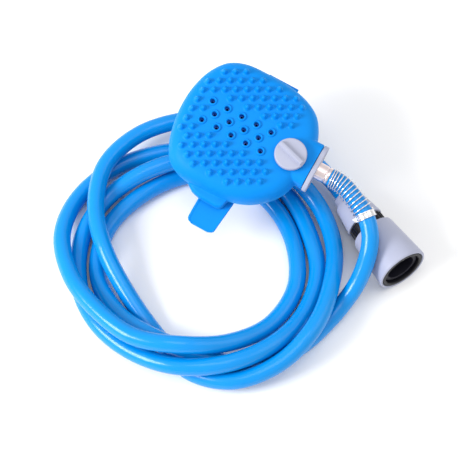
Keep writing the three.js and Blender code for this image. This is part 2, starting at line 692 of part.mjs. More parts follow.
function lockingClaw(turn) {
  const back = 12.5;
  const front = back + CLAW_RATIO * 5;
  const shape = new THREE.Shape([[55, 9], [57.5, 7.2], [60, 9], [60, front], [55, back]]
    .map(([along, radius]) => new THREE.Vector2(along, radius)));
  const claw = new THREE.ExtrudeGeometry(shape, { depth: 4.2, bevelEnabled: false });
  return claw.translate(0, 0, -2.1).rotateX(Math.PI / 2).rotateX(turn);
}

function gripRing() {
  const ring = pipeX(26.2, 33.7, 11.3, 12.4, 32);
  const ribs = Array.from({ length: 16 }, (_, i) => (
    block([26.2, -0.7, 12], [33.7, 0.7, 13]).rotateX((i / 16) * 2 * Math.PI)
  ));
  return join(ring, ...ribs);
}

function sleeveRadius(along) {
  const share = (along - SLEEVE_START) / (CONNECTOR_LENGTH - SLEEVE_START);
  return SLEEVE_REAR + (SLEEVE_FRONT - SLEEVE_REAR) * share;
}

function connectorSleeve() {
  return turnedX([
    [SLEEVE_START, 13.6], [SLEEVE_START, SLEEVE_REAR - 0.8],
    [SLEEVE_START + 0.8, sleeveRadius(SLEEVE_START + 0.8)],
    [CONNECTOR_LENGTH - 1, sleeveRadius(CONNECTOR_LENGTH - 1)], [CONNECTOR_LENGTH, SLEEVE_FRONT - 0.8],
    [CONNECTOR_LENGTH, 16.4], [66, 16.4], [66, 12.85 + CLAW_RATIO * 11], [53, 12.85 - CLAW_RATIO * 2],
    [53, 11.4], [50.6, 11.4], [50.6, 13.6],
    [SLEEVE_START, 13.6],
  ], 32);
}

function lipRing() {
  return turnedX([
    [66.3, 13.4], [66.3, 16.1], [69.6, 16.1], [69.9, 15.8], [69.9, 14], [69.3, 13.4], [66.3, 13.4],
  ], 28);
}

class SleeveSpring extends THREE.Curve {
  getPoint(t, target = new THREE.Vector3()) {
    const turn = t * 5 * 2 * Math.PI;
    return target.set(36.2 + 13.6 * t, 12.45 * Math.cos(turn), 12.45 * Math.sin(turn));
  }
}

// ---------------------------------------------------------------- the object

const sprayer = new THREE.Group();
sprayer.add(head, connector);

function place(parent, name, geometry, colour) {
  const mesh = new THREE.Mesh(closed(geometry), material(...COLOURS[colour]));
  mesh.name = name;
  parent.add(mesh);
}

place(head, 'silicone_cover', siliconeCover(), 'silicone');
place(head, 'front_shell', frontShell(), 'shellPlastic');
place(head, 'rear_shell', rearShell(), 'shellPlastic');
place(head, 'shell_seal', shellSeal(), 'sealRubber');
SCREW_PLACES.forEach(([x, y], i) => {
  place(head, `shell_screw_${i + 1}`, shellScrew().translate(x, y, 0), 'steel');
});
place(head, 'hand_strap', handStrap(), 'silicone');
PEG_PLACES.forEach(([x, y], i) => {
  place(head, `strap_peg_${i + 1}`, strapPeg().translate(x, y, 0), 'shellPlastic');
});

place(head, 'valve_body', valveBody(), 'greyPlastic');
place(knobGroup, 'valve_plug', valvePlug(), 'brass');
place(knobGroup, 'plug_ring_lower', plugRing(7), 'sealRubber');
place(knobGroup, 'plug_ring_upper', plugRing(14.55), 'sealRubber');
place(knobGroup, 'plug_clip', plugClip(), 'steel');
place(knobGroup, 'valve_knob', valveKnob(), 'greyPlastic');

place(inlet, 'end_plate', endPlate(), 'greyPlastic');
[-1, 1].forEach((side, i) => place(inlet, `plate_screw_${i + 1}`, plateScrew(side), 'steel'));
place(inlet, 'inlet_spigot', inletSpigot(), 'steel');
place(inlet, 'spigot_seal', spigotSeal(), 'sealRubber');

place(sprayer, 'spring_guard', tube(new GuardWire(), GUARD_WIRE, 4, GUARD_TURNS * 8), 'steel');
place(sprayer, 'guard_ferrule', guardFerrule(), 'steel');
place(sprayer, 'hose_lead', tube(new Stretch(0, LEAD_LENGTH), HOSE_RADIUS, 8, 10), 'hosePlastic');
place(sprayer, 'hose', tube(new Stretch(LEAD_LENGTH + GAP, hoseLength), HOSE_RADIUS, 8, 78), 'hosePlastic');

place(connector, 'connector_nut', connectorNut(), 'greyPlastic');
place(connector, 'hose_collet', hoseCollet(), 'blackPlastic');
place(connector, 'connector_body', connectorBody(), 'charcoalPlastic');
place(connector, 'grip_ring', gripRing(), 'blackPlastic');
place(connector, 'connector_ring_seal', ringX(46, 8.3, 0.8), 'sealRubber');
place(connector, 'sleeve_spring', tube(new SleeveSpring(), 0.5, 4, 50), 'steel');
place(connector, 'connector_sleeve', connectorSleeve(), 'greyPlastic');
place(connector, 'lip_ring', lipRing(), 'blackPlastic');
clawTurns().forEach((turn, i) => {
  place(connector, `locking_claw_${i + 1}`, lockingClaw(turn), 'charcoalPlastic');
});

export default sprayer;
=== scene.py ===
import json
import math

import bmesh
import bpy
from mathutils import Matrix, Vector


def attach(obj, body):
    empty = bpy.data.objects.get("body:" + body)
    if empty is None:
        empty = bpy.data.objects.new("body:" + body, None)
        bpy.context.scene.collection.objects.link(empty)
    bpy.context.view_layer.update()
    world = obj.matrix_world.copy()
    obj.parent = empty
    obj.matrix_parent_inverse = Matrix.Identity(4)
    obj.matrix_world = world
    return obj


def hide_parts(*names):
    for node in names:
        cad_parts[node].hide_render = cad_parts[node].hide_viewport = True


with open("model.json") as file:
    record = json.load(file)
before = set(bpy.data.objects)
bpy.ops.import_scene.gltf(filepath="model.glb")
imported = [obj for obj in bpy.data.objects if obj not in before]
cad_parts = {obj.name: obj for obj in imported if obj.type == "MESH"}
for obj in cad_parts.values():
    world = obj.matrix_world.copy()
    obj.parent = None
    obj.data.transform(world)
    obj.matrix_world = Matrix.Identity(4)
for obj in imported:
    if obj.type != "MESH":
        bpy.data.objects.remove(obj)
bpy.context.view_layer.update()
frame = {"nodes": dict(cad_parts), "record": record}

MM = 0.001

# ------------------------------------------------------------------ driving dimensions

GAP = 0.3
PALM_HEIGHT = 49
PITCH = math.radians(8)
ROLL = math.radians(10)

PAD_MIDDLE = -4.25
PAD_REACH = 45
FACE = 22
NECK_AXIS = 11
NECK_SIDE = 3
NECK_HALF_WIDTH = 16.4
NECK_HALF_HEIGHT = 8.8
NECK_END = 46.5
PLATE_THICKNESS = 3.3
PLATE_SCREW = 10.8

KNOB_AT = 30
KNOB_RADIUS = 11
KNOB_TURN = math.radians(-15.7)
STEM_HOLE = 5.2

NOZZLE_PITCH = 11.2
NOZZLE_ROW = 7.5
NOZZLE_MIDDLE = -11.1
NOZZLE_RADIUS = 1.45
NOZZLE_SEEN = NOZZLE_RADIUS + 0.25
NOZZLE_RING = 3.3
RING_HEIGHT = 1.3
HOLE_FLOOR = 14
NUB_PITCH = 7.4
NUB_HEIGHT = 4
NUB_TO_RING = 2.8
NUB_TO_KNOB = 5
NUB_SHARE = 0.87
NUB_TO_NECK = 27

STRAP_WIDTH = 22.6
STRAP_THICKNESS = 2.4
STRAP_TOP = 1.5
STRAP_TAB_END = -68.5
STRAP_TAB_ROOT = -44
STRAP_CORNER = 4
STRAP_LIP = 0.35
STRAP_NARROWING = 2
NOTCH_TOP = 1.9

HOSE_RADIUS = 6
SPIGOT_RADIUS = 6
SPIGOT_END = 59.5
WATER_RADIUS = 2.8
GUARD_WIRE = 0.55
GUARD_WIRE_SEEN = GUARD_WIRE - 0.1
GUARD_START = 1
GUARD_TURNS = 12
GUARD_LENGTH = 31
GUARD_SPREAD = 1.25
FERRULE_AFTER = 3.6
FERRULE_EAR_TURN = math.radians(118)

CONNECTOR_LENGTH = 70
SLEEVE_FRONT = 18.4
SLEEVE_REAR = 15.3
SLEEVE_START = 34
CONNECTOR_FRONT = (130, -23)
CONNECTOR_HEADING = math.radians(-29.7)
HOSE_IN_NUT = 14
BORE_RADIUS = 8.2
MOUTH_RADIUS = 10.3
BODY_FLANGE = 12.9
BODY_FRONT = 67.5
GUIDE_TURN = math.radians(77)
CLAW_TURNS = [math.radians(45 + 90 * i) for i in range(4)]
CLAW_RATIO = 0.3

# Hose route after the spigot: x, y, and the height of the hose's middle above the floor, in metres.
ROUTE = [
    (0.0675, 0.0009, 0.051), (0.074, -0.0005, 0.0497), (0.0805, -0.0031, 0.048),
    (0.0865, -0.0059, 0.0462), (0.0923, -0.0093, 0.0442), (0.0975, -0.0138, 0.0418),
    (0.1022, -0.0199, 0.0386), (0.1055, -0.028, 0.034), (0.107, -0.038, 0.0255),
    (0.1066, -0.048, 0.017), (0.1044, -0.0585, 0.0105), (0.101, -0.073, 0.007),
    (0.091, -0.102, 0.006), (0.070, -0.128, 0.006),
    (0.039, -0.140, 0.014), (0.006, -0.145, 0.019), (-0.027, -0.139, 0.012),
    (-0.055, -0.118, 0.006), (-0.066, -0.086, 0.006), (-0.059, -0.053, 0.006),
    (-0.040, -0.025, 0.006), (-0.012, -0.009, 0.006), (0.022, -0.013, 0.006),
    (0.051, -0.032, 0.006), (0.069, -0.062, 0.006), (0.068, -0.096, 0.010),
    (0.052, -0.125, 0.021), (0.027, -0.145, 0.031), (-0.005, -0.154, 0.028),
    (-0.038, -0.147, 0.023), (-0.067, -0.132, 0.019), (-0.089, -0.107, 0.014),
    (-0.096, -0.075, 0.007), (-0.087, -0.044, 0.006), (-0.065, -0.017, 0.006),
    (-0.037, 0.000, 0.006), (-0.004, 0.006, 0.006), (0.029, -0.001, 0.006),
    (0.057, -0.021, 0.007), (0.078, -0.047, 0.007), (0.084, -0.080, 0.010),
    (0.077, -0.112, 0.018), (0.058, -0.139, 0.022), (0.029, -0.156, 0.020),
    (-0.004, -0.159, 0.013), (-0.036, -0.151, 0.009), (-0.062, -0.131, 0.006),
    (-0.078, -0.099, 0.007), (-0.078, -0.067, 0.008), (-0.063, -0.040, 0.016),
    (-0.039, -0.016, 0.019), (-0.009, 0.001, 0.019), (0.026, 0.007, 0.018),
    (0.055, -0.002, 0.012), (0.079, -0.025, 0.012), (0.092, -0.056, 0.018),
    (0.096, -0.089, 0.021), (0.087, -0.121, 0.017), (0.065, -0.145, 0.012),
    (0.034, -0.151, 0.006), (0.001, -0.138, 0.006), (-0.029, -0.123, 0.012),
    (-0.057, -0.104, 0.019), (-0.078, -0.079, 0.020), (-0.088, -0.048, 0.020),
    (-0.080, -0.016, 0.019), (-0.058, 0.009, 0.019), (-0.029, 0.025, 0.018),
    (0.004, 0.0295, 0.018), (0.038, 0.0245, 0.0155),
]

# ------------------------------------------------------------------ places

HEAD = Matrix.Rotation(PITCH, 4, "Y") @ Matrix.Rotation(ROLL, 4, "X")
KNOB = HEAD @ Matrix.Translation((KNOB_AT, 0, 0)) @ Matrix.Rotation(KNOB_TURN, 4, "Z")
NECK = HEAD @ Matrix.Translation((0, NECK_SIDE, NECK_AXIS))

cone = math.atan2(SLEEVE_FRONT - SLEEVE_REAR, CONNECTOR_LENGTH - SLEEVE_START)
connector_turn = Matrix.Rotation(CONNECTOR_HEADING, 4, "Z") @ Matrix.Rotation(-cone, 4, "Y")
connector_axis = connector_turn @ Vector((1, 0, 0))
connector_front = Vector((*CONNECTOR_FRONT, SLEEVE_FRONT * math.cos(cone) - PALM_HEIGHT))
connector_rear = connector_front - connector_axis * CONNECTOR_LENGTH
CONNECTOR = Matrix.Translation(connector_rear) @ connector_turn


# ------------------------------------------------------------------ curves

def centripetal(points, closed=False, steps=16):
    """Dense points on the centripetal Catmull-Rom curve through the given ones."""
    count = len(points)
    if closed:
        row = [points[-1], *points, points[0], points[1]]
        spans = count
    else:
        row = [points[0] * 2 - points[1], *points, points[-1] * 2 - points[-2]]
        spans = count - 1
    dense = []
    for i in range(spans):
        a, b, c, d = row[i:i + 4]
        ab = max((b - a).length, 1e-6) ** 0.5
        bc = max((c - b).length, 1e-6) ** 0.5
        cd = max((d - c).length, 1e-6) ** 0.5
        leave = (b - a) / ab - (c - a) / (ab + bc) + (c - b) / bc
        arrive = (c - b) / bc - (d - b) / (bc + cd) + (d - c) / cd
        leave, arrive = leave * bc, arrive * bc
        for k in range(steps):
            t = k / steps
            dense.append(
                b * (2 * t ** 3 - 3 * t ** 2 + 1) + leave * (t ** 3 - 2 * t ** 2 + t)
                + c * (3 * t ** 2 - 2 * t ** 3) + arrive * (t ** 3 - t ** 2)
            )
    dense.append(row[spans + 1].copy() if not closed else dense[0].copy())
    return dense


def spaced(points, count):
    """count + 1 points at equal distances along a line of dense points."""
    reach = [0.0]
    for a, b in zip(points, points[1:]):
        reach.append(reach[-1] + (b - a).length)
    placed = []
    at = 0
    for i in range(count + 1):
        goal = reach[-1] * i / count
        while at < len(points) - 2 and reach[at + 1] < goal:
            at += 1
        share = (goal - reach[at]) / max(reach[at + 1] - reach[at], 1e-9)
        placed.append(points[at].lerp(points[at + 1], min(share, 1)))
    return placed


def eased(corners, radius, closed=True, steps=4):
    """The outline with each corner rounded off."""
    count = len(corners)
    outline = []
    for i, corner in enumerate(corners):
        here = Vector(corner)
        if not closed and i in (0, count - 1):
            outline.append(here)
            continue
        back = Vector(corners[i - 1]) - here
        ahead = Vector(corners[(i + 1) % count]) - here
        reach = min(radius, 0.45 * back.length, 0.45 * ahead.length)
        start = here + back.normalized() * reach
        end = here + ahead.normalized() * reach
        for k in range(steps + 1):
            t = k / steps
            outline.append(start * (1 - t) ** 2 + here * 2 * t * (1 - t) + end * t ** 2)
    return outline


# ------------------------------------------------------------------ shapes: (points, faces) in millimetres

def lofted(rings, closed_path=False):
    """A surface through rings of equal count, or of one point where it closes."""
    points = []
    starts = []
    for ring in rings:
        starts.append(len(points))
        points.extend(ring)
    faces = []
    pairs = list(zip(range(len(rings) - 1), range(1, len(rings))))
    if closed_path:
        pairs.append((len(rings) - 1, 0))
    for low, high in pairs:
        n, m = len(rings[low]), len(rings[high])
        for i in range(max(n, m)):
            j = (i + 1) % max(n, m)
            if n == 1:
                faces.append((starts[low], starts[high] + j, starts[high] + i))
            elif m == 1:
                faces.append((starts[low] + i, starts[low] + j, starts[high]))
            else:
                faces.append((starts[low] + i, starts[low] + j, starts[high] + j, starts[high] + i))
    return points, faces


def capped(rings):
    """A closed body through rings, with flat ends."""
    points, faces = lofted(rings)
    count = len(rings[0])
    last = len(points) - count
    faces.append(tuple(reversed(range(count))))
    faces.append(tuple(range(last, last + count)))
    return points, faces


def turned(corners, ease=0.3, sides=96, ribs=0, rib_height=0.0):
    """A round piece on the X axis from (along, radius) corners, open only where it meets the axis."""
    on_axis = corners[0][1] == 0
    outline = eased(corners, ease, closed=not on_axis) if ease else [Vector(c) for c in corners]
    rings = []
    for along, radius in outline:
        if radius < 1e-6:
            rings.append([Vector((along, 0, 0))])
            continue
        ring = []
        for i in range(sides):
            turn = 2 * math.pi * i / sides
            out = radius
            if ribs:
                out += rib_height * max(0.0, math.cos(ribs * turn)) ** 0.5
            ring.append(Vector((along, out * math.cos(turn), out * math.sin(turn))))
        rings.append(ring)
    return lofted(rings, closed_path=not on_axis)


def stood(shape):
    """Turns a piece made on the X axis to stand on the Z axis."""
    points, faces = shape
    return [Vector((-p.z, p.y, p.x)) for p in points], faces


def moved(shape, *offset):
    """Moves a shape by x, y and z."""
    points, faces = shape
    return [p + Vector(offset) for p in points], faces


def spun(shape, turn, axis="X"):
    """Turns a shape about one of its axes."""
    points, faces = shape
    matrix = Matrix.Rotation(turn, 3, axis)
    return [matrix @ p for p in points], faces


def together(*shapes):
    """Several shapes as one, not merged where they meet."""
    points = []
    faces = []
    for some_points, some_faces in shapes:
        start = len(points)
        points.extend(some_points)
        faces.extend(tuple(start + i for i in face) for face in some_faces)
    return points, faces


def slab(start, end, middle, half_width, half_height, corner, ease=0.0, steps=10):
    """A plate with round corners, thick along X, wide along Y and high along Z."""
    def ring(along, inset):
        w, h, r = half_width - inset, half_height - inset, max(corner - inset, 0.05)
        loop = []
        for quarter, (cy, cz) in enumerate([(w - r, h - r), (r - w, h - r), (r - w, r - h), (w - r, r - h)]):
            for k in range(steps + 1):
                turn = (quarter + k / steps) * math.pi / 2
                loop.append(Vector((along, cy + r * math.cos(turn), middle + cz + r * math.sin(turn))))
        return loop
    if not ease:
        return capped([ring(start, 0), ring(end, 0)])
    arc = [math.pi / 2 * k / 3 for k in range(4)]
    first = [(start + ease * (1 - math.sin(a)), ease * (1 - math.cos(a))) for a in reversed(arc)]
    last = [(end - ease * (1 - math.sin(a)), ease * (1 - math.cos(a))) for a in arc]
    return capped([ring(along, inset) for along, inset in first + last])


# ------------------------------------------------------------------ materials

def moulded(name, colour, roughness, grain=0.0006, bump=0.05, mottle=0.06, metallic=0.0, coat=0.0, gleam=0.5,
            sheen=0.0):
    """A surface with a fine moulded grain, slow changes of tone and uneven gloss."""
    material = bpy.data.materials.new(name)
    material.use_nodes = True
    nodes, links = material.node_tree.nodes, material.node_tree.links
    shader = nodes["Principled BSDF"]
    where = nodes.new("ShaderNodeTexCoord")

    slow = nodes.new("ShaderNodeTexNoise")
    slow.inputs["Scale"].default_value = 60
    slow.inputs["Detail"].default_value = 3
    links.new(where.outputs["Object"], slow.inputs["Vector"])
    tone = nodes.new("ShaderNodeMix")
    tone.data_type = "RGBA"
    tone.inputs["A"].default_value = (*(c * (1 - mottle) for c in colour), 1)
    tone.inputs["B"].default_value = (*(min(c * (1 + mottle), 1) for c in colour), 1)
    links.new(slow.outputs["Fac"], tone.inputs["Factor"])
    links.new(tone.outputs["Result"], shader.inputs["Base Color"])

    fine = nodes.new("ShaderNodeTexNoise")
    fine.inputs["Scale"].default_value = 1 / grain
    fine.inputs["Detail"].default_value = 2
    links.new(where.outputs["Object"], fine.inputs["Vector"])
    gloss = nodes.new("ShaderNodeMapRange")
    gloss.inputs["To Min"].default_value = max(roughness - 0.06, 0.02)
    gloss.inputs["To Max"].default_value = roughness + 0.06
    links.new(fine.outputs["Fac"], gloss.inputs["Value"])
    links.new(gloss.outputs["Result"], shader.inputs["Roughness"])
    relief = nodes.new("ShaderNodeBump")
    relief.inputs["Strength"].default_value = bump
    relief.inputs["Distance"].default_value = grain * 0.25
    links.new(fine.outputs["Fac"], relief.inputs["Height"])
    links.new(relief.outputs["Normal"], shader.inputs["Normal"])

    shader.inputs["Metallic"].default_value = metallic
    shader.inputs["Coat Weight"].default_value = coat
    shader.inputs["Coat Roughness"].default_value = 0.12
    shader.inputs["Specular IOR Level"].default_value = gleam
    shader.inputs["Sheen Weight"].default_value = sheen
    shader.inputs["Sheen Roughness"].default_value = 0.4
    shader.inputs["Sheen Tint"].default_value = (0.1, 0.75, 1.0, 1)
    return material


FINISHES = {
    "silicone": moulded("silicone", (0.0, 0.23, 0.72), 0.5, grain=0.0009, bump=0.12, mottle=0.04, gleam=0.12,
                        sheen=0.3),
    "shell_plastic": moulded("shell_plastic", (0.01, 0.16, 0.6), 0.35),
    "grey_plastic": moulded("grey_plastic", (0.39, 0.41, 0.53), 0.45, grain=0.0005, bump=0.1, mottle=0.03,
                            gleam=0.35),
    "hose_plastic": moulded("hose_plastic", (0.0, 0.25, 0.68), 0.22, grain=0.003, bump=0.1, mottle=0.04,
                            coat=0.12, gleam=0.3),
    "black_plastic": moulded("black_plastic", (0.003, 0.003, 0.006), 0.4, grain=0.0005, bump=0.2,
                             gleam=0.25),
    "charcoal_plastic": moulded("charcoal_plastic", (0.009, 0.009, 0.017), 0.45, grain=0.0005, bump=0.2,
                                gleam=0.25),
    "steel": moulded("steel", (0.80, 0.79, 0.80), 0.2, grain=0.0002, bump=0.1, metallic=1.0),
    "plated_metal": moulded("plated_metal", (0.84, 0.72, 0.72), 0.3, grain=0.0003, bump=0.1, metallic=1.0),
    "brass": moulded("brass", (0.70, 0.50, 0.22), 0.3, grain=0.0002, bump=0.1, metallic=1.0),
    "seal_rubber": moulded("seal_rubber", (0.01, 0.01, 0.01), 0.6, grain=0.0004, bump=0.3),
}


# ------------------------------------------------------------------ making pieces

def shaded(piece, sharp):
    """Smooth shading, but for edges past the given angle in degrees."""
    for face in piece.data.polygons:
        face.use_smooth = True
    piece.data.set_sharp_from_angle(angle=math.radians(sharp))


def raw(name, shape, place):
    """A mesh object in metres with its faces turned outward."""
    points, faces = shape
    mesh = bpy.data.meshes.new(name)
    mesh.from_pydata([place @ p * MM for p in points], [], faces)
    work = bmesh.new()
    work.from_mesh(mesh)
    bmesh.ops.remove_doubles(work, verts=work.verts, dist=1e-7)
    bmesh.ops.recalc_face_normals(work, faces=work.faces)
    work.to_mesh(mesh)
    work.free()
    piece = bpy.data.objects.new(name, mesh)
    bpy.context.scene.collection.objects.link(piece)
    return piece


def settle(piece):
    """Makes the modifiers' result the piece's own mesh."""
    graph = bpy.context.evaluated_depsgraph_get()
    mesh = bpy.data.meshes.new_from_object(piece.evaluated_get(graph))
    piece.modifiers.clear()
    piece.data = mesh


def carved(piece, tools, place):
    """Cuts the tool shapes out of the piece."""
    for i, tool in enumerate(tools):
        cutter = raw(f"cutter_{i}", tool, place)
        cut = piece.modifiers.new("cut", "BOOLEAN")
        cut.operation = "DIFFERENCE"
        cut.solver = "MANIFOLD"
        cut.object = cutter
        settle(piece)
        bpy.data.objects.remove(cutter)


def owned(piece, body, slot, nodes=()):
    """Gives a piece its body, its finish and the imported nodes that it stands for."""
    piece.data.materials.clear()
    piece.data.materials.append(FINISHES[slot])
    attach(piece, body)
    if nodes:
        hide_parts(*nodes)
    return piece


def make(name, shape, place, body, slot, sharp=38, nodes=None, tools=()):
    """A finished piece; its name without _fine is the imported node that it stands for, unless nodes says."""
    piece = raw(name, shape, place)
    if tools:
        carved(piece, tools, place)
    shaded(piece, sharp)
    return owned(piece, body, slot, nodes or [name.removesuffix("_fine")])


# ------------------------------------------------------------------ camera

AIM = Vector((0.0071, -0.0430, -0.049))
VIEW_AZIMUTH = math.radians(28)
VIEW_ELEVATION = math.radians(64)
VIEW_DISTANCE = 1.1


def add_camera():
    """The camera at the photo's angle."""
    data = bpy.data.cameras.new("camera")
    data.angle = math.radians(16.58)
    data.clip_start = 0.05
    camera = bpy.data.objects.new("camera", data)
    away = Vector((
        math.sin(VIEW_AZIMUTH) * math.cos(VIEW_ELEVATION),
        -math.cos(VIEW_AZIMUTH) * math.cos(VIEW_ELEVATION),
        math.sin(VIEW_ELEVATION),
    ))
    camera.location = AIM + away * VIEW_DISTANCE
    camera.rotation_euler = (-away).to_track_quat("-Z", "Y").to_euler()
    bpy.context.scene.collection.objects.link(camera)
    bpy.context.scene.camera = camera


add_camera()


# ------------------------------------------------------------------ hose and its guard

def connector_point(along):
    """A point on the axis of the connector, measured from its rear end."""
    return connector_rear + connector_axis * along


def hose_line():
    """The hose's middle line as dense points in millimetres, never under the floor."""
    low = HOSE_RADIUS - PALM_HEIGHT
    start = NECK @ Vector((SPIGOT_END + GAP, 0, 0))
    route = [Vector((x, y, height)) / MM - Vector((0, 0, PALM_HEIGHT)) for x, y, height in ROUTE]
    ends = [connector_point(-14), connector_point(0), connector_point(HOSE_IN_NUT)]
    dense = centripetal([start, *route, *ends], steps=14)
    return [Vector((p.x, p.y, max(p.z, low))) for p in dense]


HOSE = hose_line()


def thread(name, points, radius, resolution):
    """A round cord as a curve object."""
    curve = bpy.data.curves.new(name, "CURVE")
    curve.dimensions = "3D"
    curve.bevel_depth = radius * MM
    curve.bevel_resolution = resolution
    curve.use_fill_caps = True
    line = curve.splines.new("POLY")
    line.points.add(len(points) - 1)
    for spot, point in zip(line.points, points):
        spot.co = (*(point * MM), 1)
    line.use_smooth = True
    piece = bpy.data.objects.new(name, curve)
    bpy.context.scene.collection.objects.link(piece)
    return piece


hose = owned(thread("hose_tube", HOSE, HOSE_RADIUS, 10), "handset", "hose_plastic", ["hose_lead", "hose"])


def guard_frames(start, length, count):
    """Points along the hose with two directions across it."""
    reach = 0.0
    inside = []
    for a, b in zip(HOSE, HOSE[1:]):
        if start <= reach <= start + length + 2:
            inside.append(a)
        reach += (b - a).length
    line = spaced(inside, count)
    frames = []
    across = None
    for i, point in enumerate(line):
        along = (line[min(i + 1, count)] - line[max(i - 1, 0)]).normalized()
        across = across or along.orthogonal().normalized()
        across = (across - along * across.dot(along)).normalized()
        frames.append((point, along, across, along.cross(across)))
    return frames


def spring_guard():
    """A wound wire whose turns open towards the ferrule."""
    count = GUARD_TURNS * 24
    frames = guard_frames(GUARD_START, GUARD_LENGTH, count)
    reach = HOSE_RADIUS + GAP + 0.1 + GUARD_WIRE
    wire = []
    for i in range(count + 1):
        share = (i / count) ** GUARD_SPREAD
        place = share * count
        low = min(int(place), count - 1)
        (a, _, n0, b0), (b, _, n1, b1) = frames[low], frames[low + 1]
        t = place - low
        turn = 2 * math.pi * GUARD_TURNS * i / count
        out = n0.lerp(n1, t) * math.cos(turn) + b0.lerp(b1, t) * math.sin(turn)
        wire.append(a.lerp(b, t) + out.normalized() * reach)
    return thread("spring_guard_wire", wire, GUARD_WIRE_SEEN, 3)


owned(spring_guard(), "handset", "steel", ["spring_guard"])


def at_hose(distance):
    """A place on the hose: X runs along it."""
    reach = 0.0
    for a, b in zip(HOSE, HOSE[1:]):
        step = (b - a).length
        if reach + step >= distance:
            point = a.lerp(b, (distance - reach) / step)
            turn = Vector((1, 0, 0)).rotation_difference((b - a).normalized())
            return Matrix.Translation(point) @ turn.to_matrix().to_4x4()
        reach += step
    return None


def guard_ferrule():
    """A crimped band with one ear."""
    inner, outer = HOSE_RADIUS + 0.45, HOSE_RADIUS + 1.2
    band = turned([(-2.3, inner), (-2.3, outer), (-1.6, outer), (-1.3, outer - 0.25), (1.3, outer - 0.25),
                   (1.6, outer), (2.3, outer), (2.3, inner)], ease=0.2, sides=72)
    ear = slab(-1.6, 1.6, HOSE_RADIUS + 1.65, 1.6, 0.95, 0.5, ease=0.3, steps=4)
    place = at_hose(GUARD_START + GUARD_LENGTH + GUARD_WIRE + FERRULE_AFTER)
    make("guard_ferrule_fine", together(band, spun(ear, FERRULE_EAR_TURN)), place, "handset", "steel")


guard_ferrule()


# ------------------------------------------------------------------ scrub head

PAD_OUTLINE = [
    (-52.3, 0), (-51.2, 15.2), (-46.8, 29.2), (-39.2, 39.6), (-27.8, 45), (-10, 46.3), (8, 45.5),
    (21.5, 42.2), (31.8, 36.3), (38, 27.8), (41.2, 19.5), (42.4, 9.5), (42.5, 0), (42, -9), (39.8, -18.5),
    (36, -26.3), (29.5, -33.6), (20.2, -40.2), (7.6, -44.6), (-10, -46.2), (-28, -45.5), (-39.5, -40),
    (-46.5, -29), (-50.6, -15),
]


def pad_outline(count):
    """The pad's outline as evenly spaced points."""
    return spaced(centripetal([Vector((x, y, 0)) for x, y in PAD_OUTLINE], closed=True), count)[:-1]


PAD_LOOP = pad_outline(180)


def pad_ring(scale, height):
    """The pad's outline shrunk about its middle, at a height over the palm face."""
    if scale == 0:
        return [Vector((PAD_MIDDLE, 0, height))]
    return [Vector((PAD_MIDDLE + (p.x - PAD_MIDDLE) * scale, p.y * scale, height)) for p in PAD_LOOP]


# Share of the pad's outline and height over the palm face.
COVER_OUTER = [
    (0.985, 2), (1, 6), (1, 10), (0.985, 13.5), (0.95, 17), (0.89, 19.6), (0.8, 21),
    (0.5, FACE), (0, FACE + 0.1),
]
COVER_INNER = [(0.945, 0), (0.945, 12), (0.9, 16), (0.8, 18.3), (0.5, 19.3), (0, 19.4)]


def pad_body(profile, steps):
    """The pad's outline swept up through a profile of (share, height) pairs; it closes at the top."""
    line = centripetal([Vector((s * PAD_REACH, h, 0)) for s, h in profile], steps=steps)
    rings = [pad_ring(max(p.x / PAD_REACH, 0), p.y) for p in line[:-1]]
    rings.append(pad_ring(0, profile[-1][1]))
    return lofted([pad_ring(0, profile[0][1]), *rings])


def pad_share(x, y):
    """How far out a place on the face lies: 0 at the middle, 1 at the outline."""
    angle = math.atan2(y, x - PAD_MIDDLE)
    def apart(p):
        off = abs(math.atan2(p.y, p.x - PAD_MIDDLE) - angle)
        return min(off, 2 * math.pi - off)
    nearest = min(PAD_LOOP, key=apart)
    return math.hypot(x - PAD_MIDDLE, y) / math.hypot(nearest.x - PAD_MIDDLE, nearest.y)


def face_height(x, y):
    """The height of the scrub face at a place."""
    share = pad_share(x, y)
    face = COVER_OUTER[2:]
    for (outer, low), (inner, high) in zip(face, face[1:]):
        if share >= inner:
            return low + (high - low) * (outer - share) / (outer - inner)
    return FACE


def nozzle_places():
    """Three rows of spray holes, the middle row shifted by half a pitch."""
    places = []
    for row, count in enumerate((5, 4, 5)):
        for i in range(count):
            places.append((NOZZLE_MIDDLE + (i - (count - 1) / 2) * NOZZLE_PITCH, (row - 1) * NOZZLE_ROW))
    return places


def nub_places():
    """A triangular pattern of nubs, kept clear of the rings, the knob, the neck and the edge."""
    places = []
    column = NUB_PITCH * math.sqrt(0.75)
    for i in range(-8, 9):
        for j in range(-7, 8):
            x = NOZZLE_MIDDLE + i * column
            y = (j + (0 if i % 2 == 0 else 0.5)) * NUB_PITCH
            clear = all(math.hypot(x - nx, y - ny) > NOZZLE_RING + NUB_TO_RING for nx, ny in nozzle_places())
            clear = clear and math.hypot(x - KNOB_AT, y) > KNOB_RADIUS + NUB_TO_KNOB
            if clear and pad_share(x, y) < NUB_SHARE and x < NUB_TO_NECK:
                places.append((x, y))
    return places


def nub(x, y):
    """A blunt cone whose foot sinks into the face."""
    foot = face_height(x, y)
    top = foot + NUB_HEIGHT
    profile = [(foot - 1.5, 0), (foot - 1.5, 2.6), (foot - 0.2, 2.6), (foot + 1, 2.05), (top - 1, 1.35),
               (top - 0.3, 1.05), (top, 0.5), (top + 0.05, 0)]
    return moved(stood(turned(profile, ease=0.3, sides=20)), x, y, 0)


